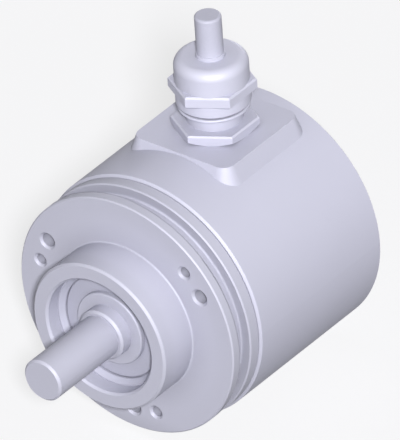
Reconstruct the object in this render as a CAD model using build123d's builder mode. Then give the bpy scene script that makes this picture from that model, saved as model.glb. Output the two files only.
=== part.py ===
from build123d import *
import os
from math import acos, atan2, cos, degrees, pi, radians, sin, tan

os.makedirs("parts", exist_ok=True)

# The origin is the centre of the flange's mounting face, on the shaft's axis.
# The shaft points towards -Y, the housing lies towards +Y and the cable leaves towards +Z.
# Sizes are in millimetres.

# Clearances
press_gap = 0.02            # on the radius, between pieces pressed or glued together
running_gap = 0.05          # on the radius, between pieces that turn in each other

# Clamping flange, from its mounting face backwards
spigot_d = 36.0
spigot_h = 10.0
spigot_edge = 0.5
spigot_root = 0.35
bore_edge = 0.5
flange_step = 0.5           # from the housing's surface in to the flange's rim
flange_edge = 0.3
rim_w = 2.8
rim_rear_edge = 0.7
clamp_groove_w = 3.4
clamp_groove_depth = 2.5
clamp_groove_fillet = 0.4
back_ring_w = 3.1
register_l = 5.7
hole_inset = 5.0            # from the rim in to the middles of the threaded holes
hole_edge = 0.5
large_core_d = 3.3          # core of an M4 thread
large_depth = 8.0
large_angles = (30, 150, 270)
small_core_d = 2.5          # core of an M3 thread
small_depth = 6.5
small_turn = 15             # each small hole lies this much further round than a large one

# Ball bearings
bearing_bore_d = 12.0
bearing_d = 28.0
bearing_w = 8.0
bearing_edge = 0.4
ball_d = 4.76
ball_count = 8
bearing_ring_wall = 2.4     # of each ring, at its shoulder beside the balls
shield_t = 0.35
shield_inset = 0.05
shield_seat_wall = 1.3      # of the outer ring, round the shield
shield_edge_gap = 0.12
shield_edge = 0.3
cage_t = 1.8
cage_w = 5.8
cage_gap = 0.12
bearing_depth = 5.0         # from the spigot's front to the front bearing
bearing_spacing = 8.0       # between the two bearings
bearing_shoulder_h = 1.6
bearing_tube_wall = 1.6

# Ring that holds the front bearing, with its gap and its lugs at the lower left
bore_ring_t = 1.2
bore_ring_reach = 1.25      # from the bearing's surface in to the ring's inner edge
bore_ring_bevel = 1.0
bore_ring_groove = 0.7
bore_ring_gap = 16
bore_ring_gap_angle = 226
bore_ring_lug_d = 3.4
bore_ring_lug_turn = 14       # from the middle of the gap to each lug
bore_ring_eye_d = 1.4

# Shaft
shaft_d = 10.0
shaft_reach = 20.0          # beyond the spigot's front face
shaft_edge = 0.5
journal_step = 0.6          # from the spigot's front face back to the thicker journal
journal_edge = 0.5
slinger_overhang = 0.4      # beyond the bearing's inner ring
slinger_t = 1.2
slinger_edge = 0.4
spacer_wall = 1.8
shaft_ring_t = 1.0
shaft_ring_wall = 2.6
shaft_ring_groove = 0.4
shaft_ring_gap = 40
hub_seat_d = 8.0
hub_seat_tail = 0.7         # seat left behind the hub
stub_d = 2.4
stub_end_gap = 0.4          # from the first gear's rear to the end of the shaft
journal_tail = 0.5          # journal left behind its ring

# Hub and code disc
hub_gap = 0.4
hub_sleeve_d = 13.0
hub_sleeve_l = 2.8
hub_flange_d = 18.0
hub_flange_t = 1.2
hub_boss_d = 12.0
hub_boss_h = 1.9
disc_edge_w = 1.5           # from the middle of the tracks' light spot out to the disc's edge
disc_t = 1.0
disc_clamp_t = 1.2
grub_d = 2.5
grub_angles = (0, 120)

# Lamp, lens and light sensor, on one line parallel to the shaft below it
lamp_block_w = 14.0
lamp_block_h = 4.6
lamp_wall = 0.6             # between the bearing tube and the lamp's rim
lamp_d = 3.0
lamp_l = 5.2
lamp_rim_d = 3.8
lamp_rim_t = 0.8
lens_l = 1.8
lens_proud = 0.8
lens_disc_gap = 0.75
sensor_disc_gap = 1.55
sensor_chip_w = 7.0
sensor_chip_h = 5.0
sensor_chip_t = 1.5
ribbon_w = 3.0
ribbon_t = 0.2
ribbon_x = 5.1
ribbon_inset = 1.5          # from the register's rear to the ribbon's front end

# Boards, on three rows of hexagonal posts
post_flats = 5.0
post_disc_gap = 3.6         # from the disc's edge out to the middles of the posts
post_angles = (30, 150, 270)
post_stud_d = 3.0
post_stud_l = 4.6
post_socket_l = 5.2
rear_post_l = 6.9
board_t = 1.6
board_edge_w = 3.3          # from the middles of the posts out to the boards' edge
post_hole_d = 3.2
board_bore_d = 10.0

# Reduction gear that counts the turns: three like wheels, each with a small pinion
gear_module = 0.4
pinion_teeth = 12
wheel_teeth = 48
pressure_angle = 25
addendum = 0.8              # in modules
dedendum = 1.05             # in modules
backlash = 0.12             # at the pitch circle
gear_t = 1.6
gear_layer = 2.2            # from one pair of gears to the next
gear_plate_t = 1.6
gear_plate_gap = 0.4
bridge_t = 1.2
axle_d = 2.0
axle_angles = (180, 240, 300)
wheel_sleeve_d = 3.3
magnet_d = 6.4
magnet_t = 1.4
magnet_gap = 0.4
hall_chip = 3.0
hall_chip_t = 0.9
hall_window = 3.6
hall_offset = 4.2

# Housing
board_gap = 1.0             # round the boards
housing_wall = 2.0
housing_front_edge = 0.5
housing_rear_edge = 0.3
housing_gap = 0.05
seal_cord_d = 1.45
seal_groove_w = 1.9
seal_y = 12.0
rear_screw_head_d = 6.0
rear_screw_d = 3.0
rear_screw_l = 4.6
rear_screw_slot = 1.9
countersink_angle = 45

# Pad on top of the housing, and the boss under it
pad_rise = 0.5              # above the housing's surface
pad_w = 26.0
pad_l = 26.2
pad_corner = 2.6
pad_depth = 7.0
pad_taper = 20
boss_d = 21.0

# Cable gland
gland_inset = 17.7          # from the housing's rear to the gland's axis
gland_flats = 17.0
gland_thread_d = 15.2
gland_hex_h = 2.35
gland_hex_edge = 0.35
gland_hex_edge_angle = 30   # of the corners turned off below
gland_stem_l = 6.0
gland_neck_depth = 0.8
gland_neck_l = 1.3
gland_bore_d = 7.2
gland_collar_depth = 1.3    # below the thread's surface, from the hexagon to the ridge
gland_collar_l = 3.1
gland_ridge_w = 0.8
gland_ridge_rise = 0.4      # beyond the thread
gland_ridge_edge = 0.35
gland_relief_l = 1.0        # from the ridge to the nut's thread
gland_thread_l = 3.65       # of the nut's thread
gland_wall = 1.8
gland_seat_h = 5.5
gland_ring_cord_d = 1.3
gland_ring_seat_w = 0.6     # beyond the thread
gland_ring_seat_h = 1.25
nut_gap = 0.65              # from the ridge to the nut
nut_wall = 0.6
nut_skirt_l = 2.5
nut_skirt_edge = 0.3
nut_hex_l = 2.95
nut_hex_lower_edge = 0.5
nut_hex_upper_edge = 0.4
nut_dome_l = 5.9
nut_dome_step = 0.05        # from the skirt's surface in to the dome's
nut_dome_fillet = 2.2
nut_thread_gap = 0.1
nut_lip_t = 2.0
insert_rise = 0.8           # straight part above the thread
insert_top_d = 8.8
insert_lip_wall = 0.3       # round the cable, in the nut's mouth
insert_bead = 0.8           # above the nut
insert_bead_edge = 0.2

# Cable, its cores and the plug on them
cable_d = 6.0
cable_top = 28.5            # above the pad
cable_edge = 0.6
cable_tail = 1.6            # below the gland
core_d = 0.9
core_pitch = 1.2
core_bend = 1.3
core_drop = 3.2             # from the cable's end to the lower cores' run over the boards
core_board_gap = 1.7
plug_w = 6.8
plug_t = 4.0
plug_bottom = 6.0
plug_top = 12.0
plug_tongue_w = 5.2
plug_tongue_t = 2.4
plug_tongue_l = 3.4
socket_w = 8.6
socket_t = 6.8
socket_bottom = 0.5

# Radii, worked out from the bearings outwards
journal_r = bearing_bore_d / 2
bearing_r = bearing_d / 2
inner_shoulder_r = journal_r + bearing_ring_wall
outer_shoulder_r = bearing_r - bearing_ring_wall
shield_seat_r = bearing_r - shield_seat_wall
bearing_tube_r = bearing_r + bearing_tube_wall
track_r = bearing_tube_r + lamp_wall + lamp_rim_d / 2
disc_r = track_r + disc_edge_w
post_r = disc_r + post_disc_gap
board_r = post_r + board_edge_w
housing_inner_r = board_r + board_gap
housing_r = housing_inner_r + housing_wall
register_r = housing_inner_r - housing_gap
flange_r = housing_r - flange_step
hole_circle_r = flange_r - hole_inset
centre_distance = gear_module * (pinion_teeth + wheel_teeth) / 2

# Places along the shaft, worked out from the spigot backwards
spigot_front = -spigot_h
shaft_front = spigot_front - shaft_reach
journal_front = spigot_front + journal_step
housing_front = rim_w + clamp_groove_w + back_ring_w
register_rear = housing_front + register_l
front_bearing_y = spigot_front + bearing_depth
front_bearing_rear = front_bearing_y + bearing_w
rear_bearing_y = front_bearing_rear + bearing_spacing
rear_bearing_rear = rear_bearing_y + bearing_w
bearing_tube_rear = rear_bearing_rear + shaft_ring_t
shaft_ring_y = rear_bearing_rear + running_gap
journal_rear = shaft_ring_y + shaft_ring_t + journal_tail
hub_front = journal_rear + hub_gap
disc_front = hub_front + hub_sleeve_l + hub_flange_t
disc_rear = disc_front + disc_t
front_board_y = disc_rear + sensor_disc_gap + sensor_chip_t
gear_plate_y = front_board_y + board_t
gear_plate_rear = gear_plate_y + gear_plate_t
gear_front = gear_plate_rear + gear_plate_gap
magnet_y = gear_front + 2 * gear_layer + gear_t + magnet_gap
bridge_y = magnet_y + magnet_t + magnet_gap
main_board_y = bridge_y + bridge_t
main_board_rear = main_board_y + board_t
housing_inner_rear = main_board_rear + rear_post_l
housing_rear = housing_inner_rear + housing_wall

# Places of the gland, the cable and its cores
gland_y = housing_rear - gland_inset
pad_top = housing_r + pad_rise
boss_bottom = pad_top - gland_stem_l
cable_bottom = boss_bottom - cable_tail
core_lower_run = cable_bottom - core_drop
core_rear_y = main_board_rear + socket_t / 2
board_top = core_lower_run - core_board_gap


# A place across the shaft, at a radius and an angle from +X towards +Z
def around(r, angle):
    return Vector(r * cos(radians(angle)), r * sin(radians(angle)))


large_holes = [around(hole_circle_r, a) for a in large_angles]
small_holes = [around(hole_circle_r, a + small_turn) for a in large_angles]
posts = [around(post_r, a) for a in post_angles]
axles = [around(centre_distance, a) for a in axle_angles]


# A plane across the shaft at a given depth: its x is +X, its y is +Z and its normal is -Y,
# so a negative amount extrudes towards the housing's rear
def across(y):
    return Plane.XZ.offset(-y)


# A half section about the shaft's axis, from (radius, y) points
def shaft_section(points):
    with BuildSketch(Plane.XY) as section:
        with BuildLine():
            Polyline(*points, close=True)
        make_face()
    return section.sketch


# A half section about the gland's axis, from (radius, height above the pad) points
def gland_section(points):
    with BuildSketch(Plane(origin=(0, gland_y, pad_top), x_dir=(1, 0, 0), z_dir=(0, -1, 0))) as section:
        with BuildLine():
            Polyline(*points, close=True)
        make_face()
    return section.sketch


gland_axis = Axis((0, gland_y, 0), (0, 0, 1))


# A ring about the shaft with chamfered ends
def plain_ring(inner_r, outer_r, front, rear, edge=0.0):
    if edge == 0:
        return shaft_section([(inner_r, front), (outer_r, front), (outer_r, rear), (inner_r, rear)])
    return shaft_section([
        (inner_r, front), (outer_r - edge, front), (outer_r, front + edge),
        (outer_r, rear - edge), (outer_r - edge, rear), (inner_r, rear),
    ])


# The direction from one place across the shaft to another, in degrees
def direction(start, end):
    return degrees(atan2(end.Y - start.Y, end.X - start.X))


# A spur gear's outline with involute flanks, one tooth centred on the angle given in degrees
def gear_outline(centre, teeth, first_tooth):
    pitch_r = gear_module * teeth / 2
    base_r = pitch_r * cos(radians(pressure_angle))
    tip_r = pitch_r + addendum * gear_module
    root_r = pitch_r - dedendum * gear_module
    pressure = radians(pressure_angle)
    half_at_pitch = pi / 2 / teeth - backlash / 4 / pitch_r

    def half_angle(r):
        at = acos(min(1.0, base_r / r))
        return half_at_pitch + (tan(pressure) - pressure) - (tan(at) - at)

    flank = [(root_r, half_angle(max(root_r, base_r))), (pitch_r, half_angle(pitch_r)),
             (tip_r, half_angle(tip_r))]
    if base_r > root_r:
        flank.insert(1, (base_r, half_angle(base_r)))
    points = []
    for tooth in range(teeth):
        middle = radians(first_tooth) + 2 * pi * tooth / teeth
        for r, half in flank:
            points.append((centre.X + r * cos(middle - half), centre.Y + r * sin(middle - half)))
        for r, half in reversed(flank):
            points.append((centre.X + r * cos(middle + half), centre.Y + r * sin(middle + half)))
    return points


# Flange body: spigot, slotted rim, register for the housing and tube for the bearings
seat_r = bearing_r + press_gap
land_r = bearing_r - bearing_shoulder_h
groove_bottom_r = flange_r - clamp_groove_depth
seal_bottom_r = housing_inner_r - seal_cord_d - press_gap
ring_groove_y = front_bearing_y - bore_ring_t - running_gap

with BuildPart() as flange_body:
    revolve(shaft_section([
        (land_r, front_bearing_rear), (seat_r, front_bearing_rear),
        (seat_r, front_bearing_y),
        (bearing_r + bore_ring_groove, front_bearing_y),
        (bearing_r + bore_ring_groove, ring_groove_y),
        (seat_r, ring_groove_y),
        (seat_r, spigot_front), (spigot_d / 2, spigot_front), (spigot_d / 2, 0),
        (flange_r, 0), (flange_r, rim_w),
        (groove_bottom_r, rim_w), (groove_bottom_r, rim_w + clamp_groove_w),
        (flange_r, rim_w + clamp_groove_w), (flange_r, housing_front),
        (register_r, housing_front), (register_r, seal_y - seal_groove_w / 2),
        (seal_bottom_r, seal_y - seal_groove_w / 2), (seal_bottom_r, seal_y + seal_groove_w / 2),
        (register_r, seal_y + seal_groove_w / 2), (register_r, register_rear),
        (bearing_tube_r, register_rear), (bearing_tube_r, bearing_tube_rear),
        (seat_r, bearing_tube_rear), (seat_r, rear_bearing_y), (land_r, rear_bearing_y),
    ]), axis=Axis.Y)
    circles = flange_body.edges().filter_by(GeomType.CIRCLE)

    def circle_at(r, y):
        return circles.filter_by(
            lambda e: abs(e.radius - r) < 0.01 and abs(e.arc_center.Y - y) < 0.01
        )

    spigot_edges = circle_at(spigot_d / 2, spigot_front)
    mouth_edges = circle_at(seat_r, spigot_front)
    root_edges = circle_at(spigot_d / 2, 0)
    rim_edges = (circle_at(flange_r, 0) + circle_at(flange_r, rim_w + clamp_groove_w)
                 + circle_at(flange_r, housing_front))
    rim_rear_edges = circle_at(flange_r, rim_w)
    groove_edges = circle_at(groove_bottom_r, rim_w + clamp_groove_w)
    chamfer(spigot_edges, spigot_edge)
    chamfer(mouth_edges, bore_edge)
    chamfer(rim_edges, flange_edge)
    fillet(root_edges, spigot_root)
    fillet(rim_rear_edges, rim_rear_edge)
    fillet(groove_edges, clamp_groove_fillet)
    for holes, tapped_d, depth in ((large_holes, large_core_d, large_depth),
                                   (small_holes, small_core_d, small_depth)):
        with BuildSketch(across(0)):
            with Locations(*holes):
                Circle(tapped_d / 2)
        extrude(amount=-depth, mode=Mode.SUBTRACT)
        mouths = flange_body.edges().filter_by(GeomType.CIRCLE).filter_by(
            lambda e: abs(e.radius - tapped_d / 2) < 0.01 and abs(e.arc_center.Y) < 0.01
        )
        chamfer(mouths, hole_edge)
    with BuildSketch(across(register_rear)):
        with Locations(*posts):
            Circle(post_stud_d / 2 + press_gap)
    extrude(amount=post_stud_l + running_gap, mode=Mode.SUBTRACT)
flange_body.part.label = "flange_body"
export_step(flange_body.part, "parts/flange_body.step")


# Bearings: rings with raceways, balls in a cage, and a shield at each end
ball_circle_r = (inner_shoulder_r + outer_shoulder_r) / 2
ball_angles = [360 / ball_count * i for i in range(ball_count)]

for place, bearing_y in (("front", front_bearing_y), ("rear", rear_bearing_y)):
    bearing_rear = bearing_y + bearing_w
    bearing_middle = bearing_y + bearing_w / 2
    shield_zone = shield_inset + shield_t + running_gap

    with BuildSketch(Plane.XY) as raceway:
        with Locations((ball_circle_r, bearing_middle)):
            Circle(ball_d / 2 + running_gap)

    with BuildPart() as outer_ring:
        revolve(shaft_section([
            (shield_seat_r, bearing_y), (bearing_r - bearing_edge, bearing_y),
            (bearing_r, bearing_y + bearing_edge), (bearing_r, bearing_rear - bearing_edge),
            (bearing_r - bearing_edge, bearing_rear), (shield_seat_r, bearing_rear),
            (shield_seat_r, bearing_rear - shield_zone), (outer_shoulder_r, bearing_rear - shield_zone),
            (outer_shoulder_r, bearing_y + shield_zone), (shield_seat_r, bearing_y + shield_zone),
        ]), axis=Axis.Y)
        revolve(raceway.sketch, axis=Axis.Y, mode=Mode.SUBTRACT)
    outer_ring.part.label = f"{place}_bearing_outer_ring"
    export_step(outer_ring.part, f"parts/{place}_bearing_outer_ring.step")

    with BuildPart() as inner_ring:
        bore_r = journal_r + press_gap
        revolve(plain_ring(bore_r, inner_shoulder_r, bearing_y, bearing_rear, bearing_edge), axis=Axis.Y)
        revolve(raceway.sketch, axis=Axis.Y, mode=Mode.SUBTRACT)
    inner_ring.part.label = f"{place}_bearing_inner_ring"
    export_step(inner_ring.part, f"parts/{place}_bearing_inner_ring.step")

    ball_places = [(ball_circle_r * cos(radians(a)), bearing_middle, ball_circle_r * sin(radians(a)))
                   for a in ball_angles]
    with BuildPart() as balls:
        with Locations(*ball_places):
            Sphere(ball_d / 2)
    balls.part.label = f"{place}_bearing_balls"
    export_step(balls.part, f"parts/{place}_bearing_balls.step")

    with BuildPart() as cage:
        revolve(plain_ring(ball_circle_r - cage_t / 2, ball_circle_r + cage_t / 2,
                           bearing_middle - cage_w / 2, bearing_middle + cage_w / 2), axis=Axis.Y)
        for a in ball_angles:
            with BuildSketch(Plane(origin=(0, bearing_middle, 0), x_dir=(0, 1, 0),
                                   z_dir=(cos(radians(a)), 0, sin(radians(a))))):
                Circle(ball_d / 2 + cage_gap)
            extrude(amount=bearing_r, mode=Mode.SUBTRACT)
    cage.part.label = f"{place}_bearing_cage"
    export_step(cage.part, f"parts/{place}_bearing_cage.step")

    with BuildPart() as shields:
        shield_r = shield_seat_r - shield_edge_gap
        lip_r = inner_shoulder_r + 2 * cage_gap
        for shield_y in (bearing_y + shield_inset, bearing_rear - shield_inset - shield_t):
            revolve(plain_ring(lip_r, shield_r, shield_y, shield_y + shield_t), axis=Axis.Y)
        shield_circles = shields.edges().filter_by(GeomType.CIRCLE)
        shield_rims = shield_circles.filter_by(lambda e: abs(e.radius - shield_r) < 0.01).group_by(Axis.Y)
        fillet(shield_rims[0] + shield_rims[-1], shield_edge)
    shields.part.label = f"{place}_bearing_shields"
    export_step(shields.part, f"parts/{place}_bearing_shields.step")


# Ring in the bore's groove, in front of the front bearing: bevelled inside, with two eyes at its gap
with BuildPart() as bore_ring:
    ring_inner_r = bearing_r - bore_ring_reach
    ring_outer_r = bearing_r + bore_ring_groove - running_gap
    ring_rear = front_bearing_y - running_gap / 2
    ring_front = ring_rear - bore_ring_t
    revolve(shaft_section([
        (ring_inner_r + bore_ring_bevel, ring_front), (ring_outer_r, ring_front), (ring_outer_r, ring_rear),
        (ring_inner_r, ring_rear), (ring_inner_r, ring_front + bore_ring_bevel),
    ]), axis=Axis.Y)
    lug_r = ring_inner_r - bore_ring_lug_d / 4
    lug_angles = (bore_ring_gap_angle - bore_ring_lug_turn, bore_ring_gap_angle + bore_ring_lug_turn)
    gap_angles = (bore_ring_gap_angle - bore_ring_gap / 2, bore_ring_gap_angle + bore_ring_gap / 2)
    lug_places = [around(lug_r, a) for a in lug_angles]
    gap_corners = [around(2 * ring_outer_r, a) for a in gap_angles]
    with BuildSketch(across(ring_rear)):
        with Locations(*lug_places):
            Circle(bore_ring_lug_d / 2)
    extrude(amount=bore_ring_t)
    with BuildSketch(across(ring_rear)):
        with Locations(*lug_places):
            Circle(bore_ring_eye_d / 2)
        with BuildLine():
            Polyline((0, 0), *gap_corners, close=True)
        make_face()
    extrude(amount=bore_ring_t, mode=Mode.SUBTRACT)
bore_ring.part.label = "bearing_retaining_ring"
export_step(bore_ring.part, "parts/bearing_retaining_ring.step")


# Shaft: output end, journal for the bearings, seat for the hub and stub for the pinion
shaft_groove_r = journal_r - shaft_ring_groove
hub_seat_rear = disc_front + hub_boss_h + hub_seat_tail
stub_rear = gear_front + gear_t + stub_end_gap

with BuildPart() as shaft:
    revolve(shaft_section([
        (0, shaft_front), (shaft_d / 2 - shaft_edge, shaft_front), (shaft_d / 2, shaft_front + shaft_edge),
        (shaft_d / 2, journal_front), (journal_r - journal_edge, journal_front),
        (journal_r, journal_front + journal_edge),
        (journal_r, shaft_ring_y), (shaft_groove_r, shaft_ring_y),
        (shaft_groove_r, shaft_ring_y + shaft_ring_t), (journal_r, shaft_ring_y + shaft_ring_t),
        (journal_r, journal_rear), (hub_seat_d / 2, journal_rear), (hub_seat_d / 2, hub_seat_rear),
        (stub_d / 2, hub_seat_rear), (stub_d / 2, stub_rear), (0, stub_rear),
    ]), axis=Axis.Y)
shaft.part.label = "shaft"
export_step(shaft.part, "parts/shaft.step")


# Thin ring on the shaft that covers the front bearing's inner ring
with BuildPart() as slinger:
    slinger_rear = front_bearing_y - press_gap
    slinger_front = slinger_rear - slinger_t
    slinger_r = inner_shoulder_r + slinger_overhang
    revolve(plain_ring(journal_r + press_gap, slinger_r, slinger_front, slinger_rear), axis=Axis.Y)
    slinger_circles = slinger.edges().filter_by(GeomType.CIRCLE).group_by(Axis.Y)
    fillet(slinger_circles[0].sort_by(SortBy.RADIUS)[-1], slinger_edge)
slinger.part.label = "shaft_slinger_ring"
export_step(slinger.part, "parts/shaft_slinger_ring.step")


# Sleeve between the bearings' inner rings
with BuildPart() as inner_spacer:
    sleeve_r = journal_r + press_gap
    revolve(plain_ring(sleeve_r, journal_r + spacer_wall, front_bearing_rear, rear_bearing_y), axis=Axis.Y)
inner_spacer.part.label = "bearing_spacer"
export_step(inner_spacer.part, "parts/bearing_spacer.step")


# Open ring in the shaft's groove, behind the rear bearing
with BuildPart() as shaft_ring:
    ring_inner_r = shaft_groove_r + press_gap
    shaft_ring_r = ring_inner_r + shaft_ring_wall
    opening = [around(2 * shaft_ring_r, a) for a in (90 - shaft_ring_gap / 2, 90 + shaft_ring_gap / 2)]
    with BuildSketch(across(shaft_ring_y + shaft_ring_t)):
        Circle(shaft_ring_r)
        Circle(ring_inner_r, mode=Mode.SUBTRACT)
        with BuildLine():
            Polyline((0, 0), *opening, close=True)
        make_face(mode=Mode.SUBTRACT)
    extrude(amount=shaft_ring_t)
shaft_ring.part.label = "shaft_retaining_ring"
export_step(shaft_ring.part, "parts/shaft_retaining_ring.step")


# Hub that carries the code disc, with two grub screws in its sleeve
grub_y = hub_front + hub_sleeve_l / 2
grub_inner_r = hub_seat_d / 2 + press_gap
grub_outer_r = hub_sleeve_d / 2 - 2 * press_gap
grub_planes = [Plane(origin=(0, grub_y, 0), x_dir=(0, 1, 0), z_dir=(cos(radians(a)), 0, sin(radians(a))))
               for a in grub_angles]

with BuildPart() as disc_hub:
    hub_bore_r = hub_seat_d / 2 + press_gap
    revolve(shaft_section([
        (hub_bore_r, hub_front), (hub_sleeve_d / 2, hub_front),
        (hub_sleeve_d / 2, hub_front + hub_sleeve_l), (hub_flange_d / 2, hub_front + hub_sleeve_l),
        (hub_flange_d / 2, disc_front), (hub_boss_d / 2, disc_front),
        (hub_boss_d / 2, disc_front + hub_boss_h), (hub_bore_r, disc_front + hub_boss_h),
    ]), axis=Axis.Y)
    for plane in grub_planes:
        with BuildSketch(plane):
            Circle(grub_d / 2 + press_gap)
        extrude(amount=hub_sleeve_d, mode=Mode.SUBTRACT)
disc_hub.part.label = "disc_hub"
export_step(disc_hub.part, "parts/disc_hub.step")

with BuildPart() as grub_screws:
    for plane in grub_planes:
        with BuildSketch(plane.offset(grub_inner_r + press_gap)):
            Circle(grub_d / 2)
        extrude(amount=grub_outer_r - grub_inner_r - press_gap)
        with BuildSketch(plane.offset(grub_outer_r)):
            RegularPolygon(grub_d / 4, 6)
        extrude(amount=-grub_d / 2, mode=Mode.SUBTRACT)
grub_screws.part.label = "hub_grub_screws"
export_step(grub_screws.part, "parts/hub_grub_screws.step")

with BuildPart() as code_disc:
    disc_bore_r = hub_boss_d / 2 + press_gap
    revolve(plain_ring(disc_bore_r, disc_r, disc_front, disc_rear), axis=Axis.Y)
code_disc.part.label = "code_disc"
export_step(code_disc.part, "parts/code_disc.step")

with BuildPart() as disc_clamp:
    revolve(plain_ring(disc_bore_r, hub_flange_d / 2, disc_rear, disc_rear + disc_clamp_t), axis=Axis.Y)
disc_clamp.part.label = "disc_clamp_ring"
export_step(disc_clamp.part, "parts/disc_clamp_ring.step")


# Lamp block on the flange, with the lamp, its lens and the ribbon that feeds it
block_top = -bearing_tube_r - press_gap
block_bottom = block_top - lamp_block_h
block_rear = disc_front - lens_disc_gap - lens_proud
lamp_block_l = block_rear - register_rear
lens_y = block_rear + lens_proud - lens_l
lamp_y = lens_y - press_gap - lamp_l
lamp_r = lamp_d / 2

with BuildPart() as lamp_block:
    with BuildSketch(across(register_rear)):
        with Locations((0, (block_top + block_bottom) / 2)):
            Rectangle(lamp_block_w, lamp_block_h)
    extrude(amount=-lamp_block_l)
    with BuildSketch(across(lamp_y)):
        with Locations((0, -track_r)):
            Circle(lamp_r + press_gap)
    extrude(amount=-lamp_block_l, mode=Mode.SUBTRACT)
    with BuildSketch(across(register_rear)):
        with Locations((0, -track_r)):
            Circle(lamp_rim_d / 2 + press_gap)
    extrude(amount=register_rear - lamp_y - lamp_rim_t, mode=Mode.SUBTRACT)
lamp_block.part.label = "lamp_block"
export_step(lamp_block.part, "parts/lamp_block.step")

with BuildPart() as lamp:
    lamp_axis = Axis((0, 0, -track_r), (0, 1, 0))
    with BuildSketch(Plane.XY.offset(-track_r)) as lamp_half:
        with BuildLine():
            tip = (0, lamp_y + lamp_l)
            shoulder = (lamp_r, lamp_y + lamp_l - lamp_r)
            Polyline(tip, (0, lamp_y), (lamp_rim_d / 2, lamp_y), (lamp_rim_d / 2, lamp_y + lamp_rim_t),
                     (lamp_r, lamp_y + lamp_rim_t), shoulder)
            RadiusArc(shoulder, tip, -lamp_r)
        make_face()
    revolve(axis=lamp_axis)
lamp.part.label = "lamp"
export_step(lamp.part, "parts/lamp.step")

with BuildPart() as lens:
    with BuildSketch(across(lens_y)):
        with Locations((0, -track_r)):
            Circle(lamp_r)
    extrude(amount=-lens_l)
    fillet(lens.edges().group_by(Axis.Y)[-1], lamp_r / 2)
lens.part.label = "collimating_lens"
export_step(lens.part, "parts/collimating_lens.step")

with BuildPart() as ribbon:
    with BuildSketch(across(register_rear + ribbon_inset)):
        with Locations((ribbon_x, block_bottom - ribbon_t / 2)):
            Rectangle(ribbon_w, ribbon_t)
    extrude(amount=register_rear + ribbon_inset - front_board_y)
ribbon.part.label = "lamp_ribbon"
export_step(ribbon.part, "parts/lamp_ribbon.step")


# Hexagonal posts: each row has studs at the front and threaded sockets at the rear
def post_row(front, rear, stud_l):
    with BuildPart() as row:
        with BuildSketch(across(front)):
            with Locations(*posts):
                RegularPolygon(post_flats / 2, 6, major_radius=False)
        extrude(amount=front - rear)
        with BuildSketch(across(front)):
            with Locations(*posts):
                Circle(post_stud_d / 2)
        extrude(amount=stud_l)
        with BuildSketch(across(rear)):
            with Locations(*posts):
                Circle(post_stud_d / 2 + press_gap)
        extrude(amount=post_socket_l, mode=Mode.SUBTRACT)
    return row.part


front_posts = post_row(register_rear, front_board_y, post_stud_l)
front_posts.label = "front_posts"
export_step(front_posts, "parts/front_posts.step")

middle_posts = post_row(gear_plate_rear, bridge_y, board_t + gear_plate_t + post_stud_l)
middle_posts.label = "middle_posts"
export_step(middle_posts, "parts/middle_posts.step")

rear_posts = post_row(main_board_rear, housing_inner_rear, board_t + bridge_t + post_socket_l - running_gap)
rear_posts.label = "rear_posts"
export_step(rear_posts, "parts/rear_posts.step")


# A round plate across the shaft, cut flat at the top for the cable, with holes for the posts
def stack_plate(front, thickness, holes):
    with BuildPart() as plate:
        with BuildSketch(across(front)):
            Circle(board_r)
            with Locations((0, board_top + board_r)):
                Rectangle(2 * board_r, 2 * board_r, mode=Mode.SUBTRACT)
            with Locations(*posts):
                Circle(post_hole_d / 2, mode=Mode.SUBTRACT)
            for centre, r in holes:
                with Locations(centre):
                    Circle(r, mode=Mode.SUBTRACT)
        extrude(amount=-thickness)
    return plate.part


axle_hole_r = axle_d / 2 + press_gap
shaft_hole = (Vector(0, 0), board_bore_d / 2)
axle_holes = [(place, axle_hole_r) for place in axles]

sensor_board = stack_plate(front_board_y, board_t, [shaft_hole])
sensor_board.label = "sensor_board"
export_step(sensor_board, "parts/sensor_board.step")

with BuildPart() as sensor_chip:
    with BuildSketch(across(front_board_y)):
        with Locations((0, -track_r)):
            Rectangle(sensor_chip_w, sensor_chip_h)
    extrude(amount=sensor_chip_t)
sensor_chip.part.label = "sensor_chip"
export_step(sensor_chip.part, "parts/sensor_chip.step")


# Small parts soldered to the boards: (x, z, width, height, thickness)
sensor_board_parts = [
    (-14.0, -6.0, 6.0, 6.0, 1.2), (-14.0, 3.0, 2.0, 1.2, 0.8), (-11.0, 3.0, 2.0, 1.2, 0.8),
    (13.5, -4.0, 4.0, 5.0, 1.2), (13.5, 2.5, 2.0, 1.2, 0.8), (16.5, 2.5, 2.0, 1.2, 0.8),
    (-8.0, 12.5, 5.0, 3.2, 1.4), (0.0, 12.5, 3.2, 1.6, 0.9), (7.0, 12.5, 3.2, 1.6, 0.9),
]
main_board_parts = [
    (-12.0, -6.0, 9.0, 9.0, 1.2), (-12.0, 4.0, 2.0, 1.2, 0.8), (-9.0, 4.0, 2.0, 1.2, 0.8),
    (0.0, -12.0, 6.0, 5.0, 1.5), (0.0, -6.5, 2.0, 1.2, 0.8), (11.0, -12.5, 4.0, 4.0, 1.0),
    (14.0, -3.0, 5.0, 5.0, 2.4), (13.0, 4.0, 3.2, 2.5, 1.6),
]


# Each of them as a box on a board's face; side is -1 for the front face and 1 for the rear
def soldered(table, face_y, side):
    with BuildPart() as pieces:
        for x, z, width, height, thickness in table:
            with BuildSketch(across(face_y)):
                with Locations((x, z)):
                    Rectangle(width, height)
            extrude(amount=-side * thickness)
    return pieces.part


sensor_parts = soldered(sensor_board_parts, front_board_y, -1)
sensor_parts.label = "sensor_board_parts"
export_step(sensor_parts, "parts/sensor_board_parts.step")


# Gear train: plate, axles, pinion on the shaft, three wheels with magnets, and bridge
gear_plate = stack_plate(gear_plate_y, gear_plate_t, [shaft_hole] + axle_holes)
gear_plate.label = "gear_plate"
export_step(gear_plate, "parts/gear_plate.step")

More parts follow.
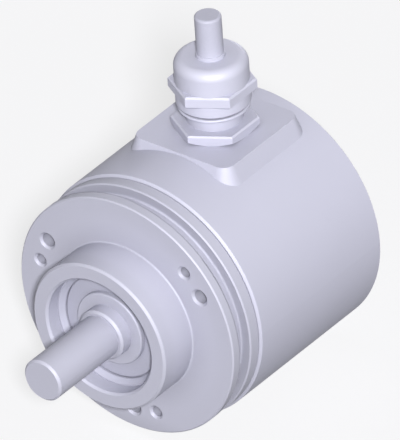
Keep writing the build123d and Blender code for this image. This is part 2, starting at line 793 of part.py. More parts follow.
with BuildPart() as gear_axles:
    with BuildSketch(across(gear_plate_y + press_gap)):
        with Locations(*axles):
            Circle(axle_d / 2)
    extrude(amount=gear_plate_y - main_board_y + 2 * press_gap)
gear_axles.part.label = "gear_axles"
export_step(gear_axles.part, "parts/gear_axles.step")

with BuildPart() as shaft_pinion:
    with BuildSketch(across(gear_front)):
        with BuildLine():
            Polyline(*gear_outline(Vector(0, 0), pinion_teeth, axle_angles[0]), close=True)
        make_face()
        Circle(stub_d / 2 + press_gap, mode=Mode.SUBTRACT)
    extrude(amount=-gear_t)
shaft_pinion.part.label = "shaft_pinion"
export_step(shaft_pinion.part, "parts/shaft_pinion.step")

half_tooth = 180 / wheel_teeth
for stage, (place, turn) in enumerate(zip(axles, axle_angles)):
    wheel_y = gear_front + stage * gear_layer
    pinion_y = wheel_y + gear_layer
    driver = axles[stage - 1] if stage > 0 else Vector(0, 0)
    last = stage == len(axles) - 1

    with BuildPart() as wheel:
        with BuildSketch(across(wheel_y)):
            with BuildLine():
                Polyline(*gear_outline(place, wheel_teeth, direction(place, driver) + half_tooth), close=True)
            make_face()
        extrude(amount=-gear_t)
        with BuildSketch(across(gear_plate_rear + running_gap)):
            with Locations(place):
                Circle(wheel_sleeve_d / 2)
        extrude(amount=gear_plate_rear + 2 * running_gap - bridge_y)
        if not last:
            with BuildSketch(across(pinion_y)):
                with BuildLine():
                    towards_next = direction(place, axles[stage + 1])
                    Polyline(*gear_outline(place, pinion_teeth, towards_next), close=True)
                make_face()
            extrude(amount=-gear_t)
        with BuildSketch(across(gear_plate_y)):
            with Locations(place):
                Circle(axle_d / 2 + running_gap)
        extrude(amount=gear_plate_y - main_board_rear, mode=Mode.SUBTRACT)
    wheel.part.label = f"counter_wheel_{stage + 1}"
    export_step(wheel.part, f"parts/counter_wheel_{stage + 1}.step")

    with BuildPart() as magnet:
        with BuildSketch(across(magnet_y)):
            with Locations(place):
                Circle(magnet_d / 2)
                Circle(wheel_sleeve_d / 2 + press_gap, mode=Mode.SUBTRACT)
        extrude(amount=-magnet_t)
    magnet.part.label = f"counter_magnet_{stage + 1}"
    export_step(magnet.part, f"parts/counter_magnet_{stage + 1}.step")

hall_places = [place * ((centre_distance + hall_offset) / centre_distance) for place in axles]

with BuildPart() as bridge:
    add(stack_plate(bridge_y, bridge_t, axle_holes))
    with BuildSketch(across(bridge_y)):
        with Locations(*hall_places):
            Rectangle(hall_window, hall_window)
    extrude(amount=-bridge_t, mode=Mode.SUBTRACT)
bridge.part.label = "gear_bridge"
export_step(bridge.part, "parts/gear_bridge.step")


# Main board with the turn sensors on its front and the processor and the socket on its rear
main_board = stack_plate(main_board_y, board_t, [])
main_board.label = "main_board"
export_step(main_board, "parts/main_board.step")

with BuildPart() as hall_chips:
    with BuildSketch(across(main_board_y)):
        with Locations(*hall_places):
            Rectangle(hall_chip, hall_chip)
    extrude(amount=hall_chip_t)
hall_chips.part.label = "turn_sensor_chips"
export_step(hall_chips.part, "parts/turn_sensor_chips.step")

board_parts = soldered(main_board_parts, main_board_rear, 1)
board_parts.label = "main_board_parts"
export_step(board_parts, "parts/main_board_parts.step")

with BuildPart() as cable_socket:
    with BuildSketch(Plane.XY.offset(socket_bottom)):
        with Locations((0, core_rear_y)):
            Rectangle(socket_w, socket_t)
    extrude(amount=plug_bottom - socket_bottom)
    with BuildSketch(Plane.XY.offset(plug_bottom)):
        with Locations((0, core_rear_y)):
            Rectangle(plug_tongue_w + 2 * press_gap, plug_tongue_t + 2 * press_gap)
    extrude(amount=-plug_tongue_l - press_gap, mode=Mode.SUBTRACT)
cable_socket.part.label = "cable_socket"
export_step(cable_socket.part, "parts/cable_socket.step")

with BuildPart() as wire_plug:
    with BuildSketch(Plane.XY.offset(plug_bottom)):
        with Locations((0, core_rear_y)):
            Rectangle(plug_w, plug_t)
    extrude(amount=plug_top - plug_bottom)
    with BuildSketch(Plane.XY.offset(plug_bottom)):
        with Locations((0, core_rear_y)):
            Rectangle(plug_tongue_w, plug_tongue_t)
    extrude(amount=-plug_tongue_l)
wire_plug.part.label = "wire_plug"
export_step(wire_plug.part, "parts/wire_plug.step")


# Cores: two layers of three, from the cable's end over the boards and down to the plug
def core(x, start_y, end_y, run_z):
    with BuildPart() as wire:
        with BuildLine():
            FilletPolyline((x, start_y, cable_bottom), (x, start_y, run_z), (x, end_y, run_z),
                           (x, end_y, plug_top), radius=core_bend)
        with BuildSketch(Plane(origin=(x, start_y, cable_bottom), z_dir=(0, 0, -1))):
            Circle(core_d / 2)
        sweep()
    return wire.part


with BuildPart() as cable_cores:
    for layer in (0, 1):
        shift = (layer - 0.5) * core_pitch
        for column in (-1, 0, 1):
            add(core(column * core_pitch, gland_y + shift, core_rear_y + shift,
                     core_lower_run + layer * core_pitch))
cable_cores.part.label = "cable_cores"
export_step(cable_cores.part, "parts/cable_cores.step")


# Housing: a can with a flat pad, a threaded boss for the gland and three screw seats
screw_head_depth = (rear_screw_head_d - rear_screw_d) / 2 / tan(radians(countersink_angle))
pad_plane = Plane(origin=(0, gland_y, pad_top), x_dir=(1, 0, 0), z_dir=(0, 0, 1))

with BuildPart() as housing:
    revolve(shaft_section([
        (0, housing_front), (housing_r, housing_front), (housing_r, housing_rear), (0, housing_rear),
    ]), axis=Axis.Y)
    chamfer(housing.edges().filter_by(GeomType.CIRCLE).group_by(Axis.Y)[0], housing_front_edge)
    chamfer(housing.edges().filter_by(GeomType.CIRCLE).group_by(Axis.Y)[-1], housing_rear_edge)
    with BuildSketch(pad_plane):
        RectangleRounded(pad_w, pad_l, pad_corner)
    extrude(amount=-pad_depth, taper=-pad_taper)
    revolve(shaft_section([
        (0, housing_front), (housing_inner_r, housing_front),
        (housing_inner_r, housing_inner_rear), (0, housing_inner_rear),
    ]), axis=Axis.Y, mode=Mode.SUBTRACT)
    with BuildSketch(Plane(origin=(0, gland_y, boss_bottom), x_dir=(1, 0, 0), z_dir=(0, 0, 1))):
        Circle(boss_d / 2)
    extrude(amount=housing_inner_r - boss_bottom + housing_wall / 2)
    with BuildSketch(pad_plane):
        Circle(gland_thread_d / 2 + press_gap)
    extrude(amount=boss_bottom - pad_top, mode=Mode.SUBTRACT)
    with BuildSketch(pad_plane):
        Circle(gland_thread_d / 2 + gland_ring_seat_w)
    extrude(amount=-gland_ring_seat_h, mode=Mode.SUBTRACT)
    with BuildSketch(across(housing_rear)):
        with Locations(*posts):
            Circle(rear_screw_d / 2 + running_gap)
    extrude(amount=housing_wall, mode=Mode.SUBTRACT)
    with BuildSketch(across(housing_rear)):
        with Locations(*posts):
            Circle(rear_screw_head_d / 2 + running_gap)
    extrude(amount=screw_head_depth, taper=countersink_angle, mode=Mode.SUBTRACT)
housing.part.label = "housing"
export_step(housing.part, "parts/housing.step")

with BuildPart() as housing_seal:
    with BuildSketch(Plane.XY):
        with Locations((housing_inner_r - seal_cord_d / 2 - press_gap / 2, seal_y)):
            Circle(seal_cord_d / 2)
    revolve(axis=Axis.Y)
housing_seal.part.label = "housing_seal"
export_step(housing_seal.part, "parts/housing_seal.step")

with BuildPart() as rear_screws:
    with BuildSketch(across(housing_rear)):
        with Locations(*posts):
            Circle(rear_screw_head_d / 2 - press_gap)
    extrude(amount=screw_head_depth, taper=countersink_angle)
    with BuildSketch(across(housing_rear - screw_head_depth)):
        with Locations(*posts):
            Circle(rear_screw_d / 2 - press_gap)
    extrude(amount=rear_screw_l)
    with BuildSketch(across(housing_rear)):
        with Locations(*posts):
            RegularPolygon(rear_screw_slot / 2, 6)
    extrude(amount=screw_head_depth, mode=Mode.SUBTRACT)
rear_screws.part.label = "rear_screws"
export_step(rear_screws.part, "parts/rear_screws.step")


# The gland's hexagon, at a height above the pad
def gland_hexagon(height):
    with BuildSketch(pad_plane.offset(height)) as outline:
        RegularPolygon(gland_flats / 2, 6, major_radius=False, rotation=30)
    return outline.sketch


# Gland body: threaded stem in the housing, hexagon, collar with a ridge, and a sleeve for the nut
thread_r = gland_thread_d / 2
gland_bore_r = gland_bore_d / 2
gland_neck_r = thread_r - gland_neck_depth
gland_seat_r = thread_r - gland_wall
gland_collar_r = thread_r - gland_collar_depth
ridge_r = thread_r + gland_ridge_rise
ridge_bottom = gland_hex_h + gland_collar_l
ridge_top = ridge_bottom + gland_ridge_w
gland_thread_bottom = ridge_top + gland_relief_l
gland_top = gland_thread_bottom + gland_thread_l
corner_r = gland_flats / 2 / cos(radians(30))
corner_drop = (corner_r - gland_flats / 2) * tan(radians(gland_hex_edge_angle))

with BuildPart() as gland_body:
    extrude(gland_hexagon(0), amount=gland_hex_h)
    chamfer(gland_body.edges().group_by(Axis.Z)[-1], gland_hex_edge)
    revolve(gland_section([
        (0, 0), (gland_flats / 2, 0), (corner_r, corner_drop), (corner_r, gland_hex_h), (0, gland_hex_h),
    ]), axis=gland_axis, mode=Mode.INTERSECT)
    revolve(gland_section([
        (0, -gland_stem_l), (thread_r, -gland_stem_l), (thread_r, -gland_neck_l),
        (gland_neck_r, -gland_neck_l), (gland_neck_r, 0), (gland_collar_r, 0),
        (gland_collar_r, ridge_bottom), (ridge_r, ridge_bottom), (ridge_r, ridge_top),
        (gland_neck_r, ridge_top), (gland_neck_r, gland_thread_bottom),
        (thread_r, gland_thread_bottom), (thread_r, gland_top), (0, gland_top),
    ]), axis=gland_axis)
    ridge_edges = gland_body.edges().filter_by(GeomType.CIRCLE).filter_by(
        lambda e: abs(e.radius - ridge_r) < 0.01
    )
    fillet(ridge_edges, gland_ridge_edge)
    revolve(gland_section([
        (0, -gland_stem_l), (gland_bore_r, -gland_stem_l), (gland_bore_r, gland_seat_h),
        (gland_seat_r, gland_seat_h), (gland_seat_r, gland_top), (0, gland_top),
    ]), axis=gland_axis, mode=Mode.SUBTRACT)
gland_body.part.label = "gland_body"
export_step(gland_body.part, "parts/gland_body.step")

with BuildPart() as gland_ring:
    ring_middle_r = (gland_neck_r + thread_r + gland_ring_seat_w) / 2
    ring_cord_r = min(gland_ring_cord_d, gland_ring_seat_h) / 2 - press_gap
    with BuildSketch(Plane(origin=(0, gland_y, pad_top), x_dir=(1, 0, 0), z_dir=(0, -1, 0))):
        with Locations((ring_middle_r, -gland_ring_seat_h / 2)):
            Circle(ring_cord_r)
    revolve(axis=gland_axis)
gland_ring.part.label = "gland_sealing_ring"
export_step(gland_ring.part, "parts/gland_sealing_ring.step")

# Places of the nut, above the pad
nut_bottom = ridge_top + nut_gap
nut_hex_bottom = nut_bottom + nut_skirt_l
nut_hex_top = nut_hex_bottom + nut_hex_l
nut_top = nut_hex_top + nut_dome_l
lip_bottom = nut_top - nut_lip_t
mouth_r = cable_d / 2 + insert_lip_wall

# Rubber insert that the nut squeezes on to the cable, with a bead that stands out of the nut's mouth
insert_bottom = gland_seat_h + press_gap
insert_r = gland_seat_r - press_gap
insert_bore_r = cable_d / 2 + press_gap
insert_lip_r = mouth_r - press_gap
cone_bottom = gland_top + insert_rise
bead_top = nut_top + insert_bead

with BuildPart() as gland_insert:
    revolve(gland_section([
        (insert_bore_r, insert_bottom), (insert_r, insert_bottom), (insert_r, cone_bottom),
        (insert_top_d / 2, lip_bottom - press_gap), (insert_lip_r, lip_bottom - press_gap),
        (insert_lip_r, bead_top), (insert_bore_r, bead_top),
    ]), axis=gland_axis)
    insert_circles = gland_insert.edges().filter_by(GeomType.CIRCLE).group_by(Axis.Z)
    fillet(insert_circles[-1].sort_by(SortBy.RADIUS)[-1], insert_bead_edge)
gland_insert.part.label = "gland_insert"
export_step(gland_insert.part, "parts/gland_insert.step")

# Nut: skirt, hexagon with bevelled edges, and dome with a rounded shoulder
with BuildPart() as gland_nut:
    nut_thread_r = thread_r + nut_thread_gap
    skirt_r = nut_thread_r + nut_wall
    dome_r = skirt_r - nut_dome_step
    extrude(gland_hexagon(nut_hex_bottom), amount=nut_hex_l)
    chamfer(gland_nut.edges().group_by(Axis.Z)[0], nut_hex_lower_edge)
    chamfer(gland_nut.edges().group_by(Axis.Z)[-1], nut_hex_upper_edge)
    revolve(gland_section([
        (0, nut_bottom), (skirt_r, nut_bottom), (skirt_r, nut_hex_bottom + nut_hex_lower_edge),
        (dome_r, nut_hex_bottom + nut_hex_lower_edge), (dome_r, nut_top), (0, nut_top),
    ]), axis=gland_axis)
    nut_circles = gland_nut.edges().filter_by(GeomType.CIRCLE).group_by(Axis.Z)
    fillet(nut_circles[0], nut_skirt_edge)
    fillet(nut_circles[-1], nut_dome_fillet)
    cone_bottom_r = insert_r + press_gap
    cone_top_r = insert_top_d / 2 + press_gap
    revolve(gland_section([
        (0, nut_bottom), (nut_thread_r, nut_bottom), (nut_thread_r, cone_bottom),
        (cone_bottom_r, cone_bottom), (cone_top_r, lip_bottom), (mouth_r, lip_bottom),
        (mouth_r, nut_top), (0, nut_top),
    ]), axis=gland_axis, mode=Mode.SUBTRACT)
gland_nut.part.label = "gland_nut"
export_step(gland_nut.part, "parts/gland_nut.step")

# Cable: a short length, cut flat, with its end's edge rounded
with BuildPart() as cable_jacket:
    with BuildSketch(Plane(origin=(0, gland_y, cable_bottom), x_dir=(1, 0, 0), z_dir=(0, 0, 1))):
        Circle(cable_d / 2)
    extrude(amount=pad_top + cable_top - cable_bottom)
    fillet(cable_jacket.edges().filter_by(GeomType.CIRCLE).group_by(Axis.Z)[-1], cable_edge)
cable_jacket.part.label = "cable_jacket"
export_step(cable_jacket.part, "parts/cable_jacket.step")
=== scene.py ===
import bpy
import math
from mathutils import Matrix, Vector


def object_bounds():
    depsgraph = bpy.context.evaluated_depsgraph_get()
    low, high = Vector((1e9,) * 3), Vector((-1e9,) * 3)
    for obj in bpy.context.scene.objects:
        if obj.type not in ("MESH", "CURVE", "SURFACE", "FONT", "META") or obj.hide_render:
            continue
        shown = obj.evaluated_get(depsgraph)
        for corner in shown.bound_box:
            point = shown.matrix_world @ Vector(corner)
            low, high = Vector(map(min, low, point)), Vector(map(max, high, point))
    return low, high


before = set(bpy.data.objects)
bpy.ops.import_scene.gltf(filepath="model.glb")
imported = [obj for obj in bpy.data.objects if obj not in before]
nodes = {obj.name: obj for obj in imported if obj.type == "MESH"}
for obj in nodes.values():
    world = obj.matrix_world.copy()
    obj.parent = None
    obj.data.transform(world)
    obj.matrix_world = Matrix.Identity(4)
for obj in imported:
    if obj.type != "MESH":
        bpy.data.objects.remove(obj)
cadLow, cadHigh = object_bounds()
mm = 0.001
white = (1, 1, 1, 1)
print("encoder frame loaded,", len(nodes), "nodes")


# sRGB hex text to the linear colour that a shader socket wants
def hexColour(text):
    channels = [int(text[i:i + 2], 16) / 255 for i in (1, 3, 5)]
    linear = [c / 12.92 if c <= 0.04045 else ((c + 0.055) / 1.055) ** 2.4 for c in channels]
    return (*linear, 1.0)


# Adds one node to a tree, sets its properties and inputs, and returns it.
# An input that is a socket gets a link, any other value is set on the socket.
def addNode(tree, kind, inputs=None, **settings):
    node = tree.nodes.new(kind)
    for name, value in settings.items():
        setattr(node, name, value)
    for key, value in (inputs or {}).items():
        if isinstance(value, bpy.types.NodeSocket):
            tree.links.new(value, node.inputs[key])
        else:
            node.inputs[key].default_value = value
    return node


# A material with an otherwise empty tree, its shader and its output
def newMaterial(name, shaderInputs):
    material = bpy.data.materials.new(name)
    material.use_nodes = True
    tree = material.node_tree
    tree.nodes.clear()
    shader = addNode(tree, "ShaderNodeBsdfPrincipled", shaderInputs)
    output = addNode(tree, "ShaderNodeOutputMaterial", {"Surface": shader.outputs["BSDF"]})
    return material, tree, shader, output


# Painted shade in corners and gaps: the dark colour mixed in where nearby surfaces close in, and how far from a wall
# it reaches, in mm
gapShade = {"colour": "#19191C", "reach": 6, "raySamples": 8}


# The same colour with painted shade: darker in corners and gaps, where nearby surfaces close in
def paintedGapShade(tree, colour, share):
    openness = addNode(tree, "ShaderNodeAmbientOcclusion", {"Distance": gapShade["reach"] * mm},
                       samples=gapShade["raySamples"])
    shadedColour = addNode(tree, "ShaderNodeMixRGB", {"Fac": share, "Color1": colour, "Color2": hexColour(gapShade["colour"])})
    mixed = addNode(tree, "ShaderNodeMixRGB", {"Fac": openness.outputs["AO"], "Color1": shadedColour.outputs["Color"],
                                               "Color2": colour})
    return mixed.outputs["Color"]


# The gloss of the thin film over a metal, kept faint for the photograph's even matt grey
metalFilm = 0.05

# Bead-blasted, clear anodised aluminium: an even satin grey with a fine dimpled grain and faint cloudiness. Real
# beads leave dimples of about 0.1 mm, and these are drawn coarser so that they show. Lengths are in mm.
# Its last entry is the share of painted shade in corners and gaps
blastedAluminium = {"colour": "#D6D6E2", "shade": "#D2D2DE", "cloudSize": 14, "cloudDetail": 3, "metallic": 0.2,
                    "roughness": 0.62, "glossier": 0.04, "duller": 0.05, "grit": 0.35, "gritDetail": 2,
                    "dimpleDepth": 0.010, "dimpleStrength": 0.25, "gapShade": 0.4}


def makeBlastedAluminium(name, spec):
    material, tree, shader, output = newMaterial(name, {"Metallic": spec["metallic"],
                                                        "Specular IOR Level": metalFilm})
    coords = addNode(tree, "ShaderNodeTexCoord")
    grain = addNode(tree, "ShaderNodeTexNoise", {"Vector": coords.outputs["Object"],
                                                 "Scale": 1 / (spec["grit"] * mm), "Detail": spec["gritDetail"]})
    clouds = addNode(tree, "ShaderNodeTexNoise", {"Vector": coords.outputs["Object"],
                                                  "Scale": 1 / (spec["cloudSize"] * mm),
                                                  "Detail": spec["cloudDetail"]})
    tint = addNode(tree, "ShaderNodeMixRGB", {"Fac": clouds.outputs["Fac"], "Color1": hexColour(spec["colour"]),
                                              "Color2": hexColour(spec["shade"])})
    gloss = addNode(tree, "ShaderNodeMapRange", {"Value": grain.outputs["Fac"],
                                                 "To Min": spec["roughness"] - spec["glossier"],
                                                 "To Max": spec["roughness"] + spec["duller"]})
    dimples = addNode(tree, "ShaderNodeBump", {"Height": grain.outputs["Fac"], "Strength": spec["dimpleStrength"],
                                               "Distance": spec["dimpleDepth"] * mm})
    # Base colour with painted shade in corners and gaps
    tree.links.new(paintedGapShade(tree, tint.outputs["Color"], spec["gapShade"]), shader.inputs["Base Color"])
    tree.links.new(gloss.outputs["Result"], shader.inputs["Roughness"])
    tree.links.new(dimples.outputs["Normal"], shader.inputs["Normal"])
    return material


# What all turned and ground metals share: how far the tool's lines wander, the smears of handling that vary the
#  gloss, and the share of painted shade in corners and gaps. Lengths are in mm.
turning = {"wander": 0.6, "wanderDetail": 1.0, "wanderScale": 0.4, "lineStrength": 0.3, "smearSize": 6,
           "smearDetail": 2, "glossSpread": 0.05, "gapShade": 0.38}


# Turned metal: feed lines run round the axis, as rings on an end face and as bands on a cylinder. A real feed is
# about 0.1 mm or less, and these are drawn coarser so that they show. Feed, depth and centre are in mm.
def makeTurned(name, colour, metallic, roughness, feed, depth, axis="Y", centre=(0, 0, 0)):
    material, tree, shader, output = newMaterial(name, {"Metallic": metallic, "Specular IOR Level": metalFilm})
    coords = addNode(tree, "ShaderNodeTexCoord")
    place = addNode(tree, "ShaderNodeMapping", {"Vector": coords.outputs["Object"],
                                                "Location": [-c * mm for c in centre]})
    perMetre = 2 * math.pi / (20 * feed * mm)   # the wave texture runs 20 radians per unit of scale
    wave = {"Vector": place.outputs["Vector"], "Scale": perMetre, "Distortion": turning["wander"],
            "Detail": turning["wanderDetail"], "Detail Scale": turning["wanderScale"]}
    bands = addNode(tree, "ShaderNodeTexWave", wave, wave_type="BANDS", bands_direction=axis)
    rings = addNode(tree, "ShaderNodeTexWave", wave, wave_type="RINGS", rings_direction=axis)
    facing = addNode(tree, "ShaderNodeSeparateXYZ", {"Vector": coords.outputs["Normal"]})
    flat = addNode(tree, "ShaderNodeMath", {0: facing.outputs[axis]}, operation="ABSOLUTE")
    lines = addNode(tree, "ShaderNodeMixRGB", {"Fac": flat.outputs["Value"], "Color1": bands.outputs["Color"],
                                               "Color2": rings.outputs["Color"]})
    smears = addNode(tree, "ShaderNodeTexNoise", {"Vector": place.outputs["Vector"],
                                                  "Scale": 1 / (turning["smearSize"] * mm),
                                                  "Detail": turning["smearDetail"]})
    gloss = addNode(tree, "ShaderNodeMapRange", {"Value": smears.outputs["Fac"],
                                                 "To Min": roughness - turning["glossSpread"],
                                                 "To Max": roughness + turning["glossSpread"]})
    grooves = addNode(tree, "ShaderNodeBump", {"Height": lines.outputs["Color"], "Strength": turning["lineStrength"],
                                               "Distance": depth * mm})
    # Base colour with painted shade in corners and gaps
    tree.links.new(paintedGapShade(tree, hexColour(colour), turning["gapShade"]), shader.inputs["Base Color"])
    tree.links.new(gloss.outputs["Result"], shader.inputs["Roughness"])
    tree.links.new(grooves.outputs["Normal"], shader.inputs["Normal"])
    return material


# What all moulded and extruded materials share: how much darker the grain's low spots are, and its gloss and bump
moulding = {"detail": 3, "lowSpots": 0.92, "glossier": 0.04, "duller": 0.06, "bumpStrength": 0.25}


# Moulded or extruded material: an even colour with a fine matt skin. Skin, the grain's size, and depth are in mm.
def makeMoulded(name, colour, roughness, skin=0.4, depth=0.01, shaderInputs=None):
    material, tree, shader, output = newMaterial(name, shaderInputs)
    coords = addNode(tree, "ShaderNodeTexCoord")
    grain = addNode(tree, "ShaderNodeTexNoise", {"Vector": coords.outputs["Object"], "Scale": 1 / (skin * mm),
                                                 "Detail": moulding["detail"]})
    high = hexColour(colour)
    low = (*[moulding["lowSpots"] * c for c in high[:3]], 1.0)
    tint = addNode(tree, "ShaderNodeMixRGB", {"Fac": grain.outputs["Fac"], "Color1": high, "Color2": low})
    gloss = addNode(tree, "ShaderNodeMapRange", {"Value": grain.outputs["Fac"],
                                                 "To Min": roughness - moulding["glossier"],
                                                 "To Max": roughness + moulding["duller"]})
    bump = addNode(tree, "ShaderNodeBump", {"Height": grain.outputs["Fac"], "Strength": moulding["bumpStrength"],
                                            "Distance": depth * mm})
    tree.links.new(tint.outputs["Color"], shader.inputs["Base Color"])
    tree.links.new(gloss.outputs["Result"], shader.inputs["Roughness"])
    tree.links.new(bump.outputs["Normal"], shader.inputs["Normal"])
    return material


# Most metals' metallic is far below a bare metal's, because the photograph shows them as one even matt grey
finishes = {
    "blastedAluminium": makeBlastedAluminium("bead blasted anodised aluminium", blastedAluminium),
    # satin grey, with rings and bands that the cutting tool left
    "turnedAluminium": makeTurned("turned anodised aluminium", colour="#CECED9", metallic=0.2, roughness=0.62,
                                  feed=0.45, depth=0.008),
    # the same grey with closer and shallower lines
    "groundSteel": makeTurned("ground stainless steel", colour="#CECED9", metallic=0.2, roughness=0.60,
                              feed=0.30, depth=0.005),
    # a shade darker, with the closest lines of all
    "bearingSteel": makeTurned("ground bearing steel", colour="#CACAD6", metallic=0.2, roughness=0.60,
                               feed=0.25, depth=0.004),
    # the same darker grey with wider lines, as rolled strip has
    "springSteel": makeTurned("stamped spring steel", colour="#CACAD6", metallic=0.2, roughness=0.60,
                              feed=0.40, depth=0.006),
    # bluish and brighter where it mirrors
    "zincedScrew": makeTurned("zinc plated screw", colour="#C2C4CE", metallic=0.60, roughness=0.34,
                              feed=0.30, depth=0.006),
    # the palest metal, with lines round the gland's own axis
    "nickelBrass": makeTurned("nickel plated brass", colour="#DADAE6", metallic=0.2, roughness=0.60,
                              feed=0.35, depth=0.005, axis="Z", centre=(0, 34.8, 0)),
    # warm yellow that mirrors softly
    "turnedBrass": makeTurned("turned brass", colour="#C9A24E", metallic=1.0, roughness=0.32,
                              feed=0.30, depth=0.006),
    # near black with a dull metal gleam and a grainy skin
    "sintered": makeMoulded("sintered magnet", colour="#3A3A40", roughness=0.45, skin=0.3, depth=0.02,
                            shaderInputs={"Metallic": 0.7}),
    # cream and half matt
    "nylon": makeMoulded("moulded glass-filled nylon", colour="#D9D3C2", roughness=0.5),
    # near black and matt
    "rubber": makeMoulded("moulded nitrile rubber", colour="#1C1C1E", roughness=0.72, skin=0.3, depth=0.02),
    # pale grey and matt
    "greyRubber": makeMoulded("moulded pale grey rubber", colour="#D0D0DC", roughness=0.6, skin=0.3),
    # the same pale grey with a softer, wider grain
    "pvcSheath": makeMoulded("extruded PVC sheath", colour="#D0D0DC", roughness=0.55, skin=0.6),
    # black and half matt
    "epoxy": makeMoulded("moulded epoxy", colour="#17181B", roughness=0.5),
    # deep green and glossy
    "solderMask": makeMoulded("solder mask over glass fibre", colour="#1B5A36", roughness=0.32, skin=0.5,
                              depth=0.006),
    # amber and glossy
    "film": makeMoulded("polyimide film", colour="#B4762A", roughness=0.3, skin=0.8, depth=0.004),
    # warm grey with a soft gloss
    "coreInsulation": makeMoulded("extruded core insulation", colour="#8D8378", roughness=0.42),
    # clear and smooth, with a faint cool tint
    "glass": makeMoulded("ground glass", colour="#E4EEF0", roughness=0.08, skin=1.0, depth=0.002,
                         shaderInputs={"Transmission Weight": 0.85, "IOR": 1.52}),
    # clear and the smoothest of all
    "acrylic": makeMoulded("moulded clear acrylic", colour="#EDEFF4", roughness=0.06, skin=1.0, depth=0.002,
                           shaderInputs={"Transmission Weight": 0.9, "IOR": 1.49}),
}
print("materials made:", len(finishes))

finishOf = {
    "turnedAluminium": ["flange_body", "disc_hub", "disc_clamp_ring", "gear_plate", "gear_bridge"],
    "blastedAluminium": ["housing"],
    "groundSteel": ["shaft", "shaft_slinger_ring", "bearing_spacer", "gear_axles", "hub_grub_screws"],
    "bearingSteel": ["front_bearing_inner_ring", "front_bearing_outer_ring", "front_bearing_balls",
                     "front_bearing_shields", "rear_bearing_inner_ring", "rear_bearing_outer_ring",
                     "rear_bearing_balls", "rear_bearing_shields"],
    "springSteel": ["bearing_retaining_ring", "shaft_retaining_ring"],
    "zincedScrew": ["rear_screws"],
    "nickelBrass": ["gland_body", "gland_nut"],
    "turnedBrass": ["shaft_pinion", "front_posts", "middle_posts", "rear_posts"],
    "sintered": ["counter_magnet_1", "counter_magnet_2", "counter_magnet_3"],
    "nylon": ["front_bearing_cage", "rear_bearing_cage", "lamp_block", "counter_wheel_1", "counter_wheel_2",
              "counter_wheel_3", "cable_socket", "wire_plug"],
    "rubber": ["housing_seal", "gland_sealing_ring"],
    "greyRubber": ["gland_insert"],
    "pvcSheath": ["cable_jacket"],
    "epoxy": ["sensor_chip", "sensor_board_parts", "main_board_parts", "turn_sensor_chips"],
    "solderMask": ["sensor_board", "main_board"],
    "film": ["lamp_ribbon"],
    "coreInsulation": ["cable_cores"],
    "glass": ["code_disc", "collimating_lens"],
    "acrylic": ["lamp"],
}
for finishName, members in finishOf.items():
    for member in members:
        slots = nodes[member].data.materials
        slots.clear()
        slots.append(finishes[finishName])
assert sorted(n for members in finishOf.values() for n in members) == sorted(nodes)
print("finishes given to every node")

# Camera: the photograph's angle and roll, with a very long lens because its edges run parallel. Angles are in
# degrees, clip is in metres and the other lengths are in mm.
camera = {"azimuth": 39.68, "elevation": 33.40, "roll": 4.2, "lens": 1500, "sensor": 36, "clip": (0.1, 20),
          "pictureHeight": 95.28, "right": 15.88, "up": 20.67}


def placeCamera(spec):
    azimuth, elevation, roll = [math.radians(spec[k]) for k in ("azimuth", "elevation", "roll")]
    back = Vector((math.sin(azimuth) * math.cos(elevation), -math.cos(azimuth) * math.cos(elevation),
                   math.sin(elevation)))
    level = Vector((math.cos(azimuth), math.sin(azimuth), 0))
    upright = back.cross(level)
    right = math.cos(roll) * level - math.sin(roll) * upright
    up = math.sin(roll) * level + math.cos(roll) * upright
    data = bpy.data.cameras.new("pictureCamera")
    data.sensor_width = spec["sensor"]
    data.lens = spec["lens"]
    data.clip_start, data.clip_end = spec["clip"]
    distance = spec["pictureHeight"] * mm * data.lens / data.sensor_width
    obj = bpy.data.objects.new("pictureCamera", data)
    bpy.context.scene.collection.objects.link(obj)
    target = right * spec["right"] * mm + up * spec["up"] * mm
    obj.matrix_world = Matrix.Translation(target + back * distance) @ Matrix(
        (right, up, back)).transposed().to_4x4()
    bpy.context.scene.camera = obj
    return back, right


back, right = placeCamera(camera)
print("camera placed")

# Floor: pale where it is seen, also in metal and through glass, with the encoder's shadow on it. The light that
# bounces off it meets a dark colour, so that the encoder's lower side stays darker, as in the photograph.
# Size is in metres and drop, the gap below the encoder, in mm.
stage = {"bounceColour": "#2A2A2E", "seenColour": "#FAFAFA", "glow": 0.75, "roughness": 0.9, "specular": 0.1,
         "size": 6.0, "drop": 0.5}


# Whether a ray sees the white background: the camera's rays, and those in metal and through glass
def showsWhite(tree):
    light = addNode(tree, "ShaderNodeLightPath")
    seen = light.outputs["Is Camera Ray"]
    for kind in ("Is Glossy Ray", "Is Transmission Ray"):
        either = addNode(tree, "ShaderNodeMath", {0: seen, 1: light.outputs[kind]}, operation="MAXIMUM")
        seen = either.outputs["Value"]
    return seen


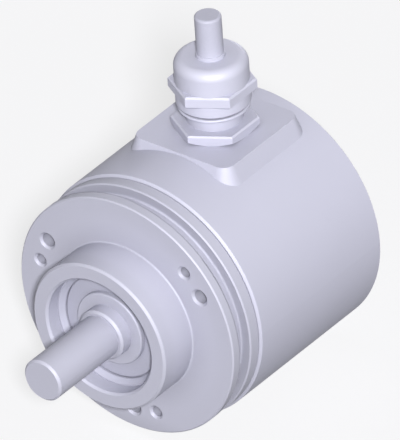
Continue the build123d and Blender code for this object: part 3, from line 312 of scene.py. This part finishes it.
def makeFloor(spec):
    half = spec["size"] / 2
    low = cadLow.z - spec["drop"] * mm
    mesh = bpy.data.meshes.new("floor")
    mesh.from_pydata([(-half, -half, low), (half, -half, low), (half, half, low), (-half, half, low)], [],
                     [(0, 1, 2, 3)])
    floor = bpy.data.objects.new("floor", mesh)
    bpy.context.scene.collection.objects.link(floor)
    material, tree, shader, output = newMaterial("pale studio floor", {"Roughness": spec["roughness"],
                                                                       "Specular IOR Level": spec["specular"]})
    seen = showsWhite(tree)
    tint = addNode(tree, "ShaderNodeMixRGB", {"Fac": seen, "Color1": hexColour(spec["bounceColour"]),
                                              "Color2": hexColour(spec["seenColour"])})
    glow = addNode(tree, "ShaderNodeEmission", {"Color": white, "Strength": 1.0})
    glowShare = addNode(tree, "ShaderNodeMath", {0: seen, 1: spec["glow"]}, operation="MULTIPLY")
    mixed = addNode(tree, "ShaderNodeMixShader", {0: glowShare.outputs["Value"], 1: shader.outputs["BSDF"],
                                                  2: glow.outputs["Emission"]})
    tree.links.new(tint.outputs["Color"], shader.inputs["Base Color"])
    tree.links.new(mixed.outputs["Shader"], output.inputs["Surface"])
    mesh.materials.append(material)


makeFloor(stage)

# Light: a soft lamp on the camera's own line and a weaker one behind the encoder, both a slightly cool white.
# Softness is the lamp's width in degrees.
lampTint = (0.965, 0.965, 1.03)
lamps = [
    {"name": "keyLamp", "from": back + 0.04 * right, "softness": 6, "strength": 3.9},
    {"name": "rearLamp", "from": Vector((-0.38, 0.92, -0.05)), "softness": 24, "strength": 2.4},
]


def makeLamps(specs):
    for spec in specs:
        direction = spec["from"].normalized()
        data = bpy.data.lights.new(spec["name"], "SUN")
        data.angle = math.radians(spec["softness"])
        data.energy = spec["strength"]
        data.color = lampTint
        obj = bpy.data.objects.new(spec["name"], data)
        obj.rotation_mode = "QUATERNION"
        obj.rotation_quaternion = direction.to_track_quat("Z", "Y")
        bpy.context.scene.collection.objects.link(obj)


makeLamps(lamps)

# Room: white where it is seen, also in metal and through glass, and dim as a light on the encoder
room = {"ambient": 0.01, "seen": 1.0}


def makeRoom(spec):
    world = bpy.data.worlds.new("paleRoom")
    world.use_nodes = True
    tree = world.node_tree
    tree.nodes.clear()
    strength = addNode(tree, "ShaderNodeMapRange", {"Value": showsWhite(tree), "To Min": spec["ambient"],
                                                    "To Max": spec["seen"]})
    sky = addNode(tree, "ShaderNodeBackground", {"Color": white, "Strength": strength.outputs["Result"]})
    addNode(tree, "ShaderNodeOutputWorld", {"Surface": sky.outputs["Background"]})
    bpy.context.scene.world = world


makeRoom(room)
bpy.context.scene.view_settings.view_transform = "Standard"
print("stage and lamps made")
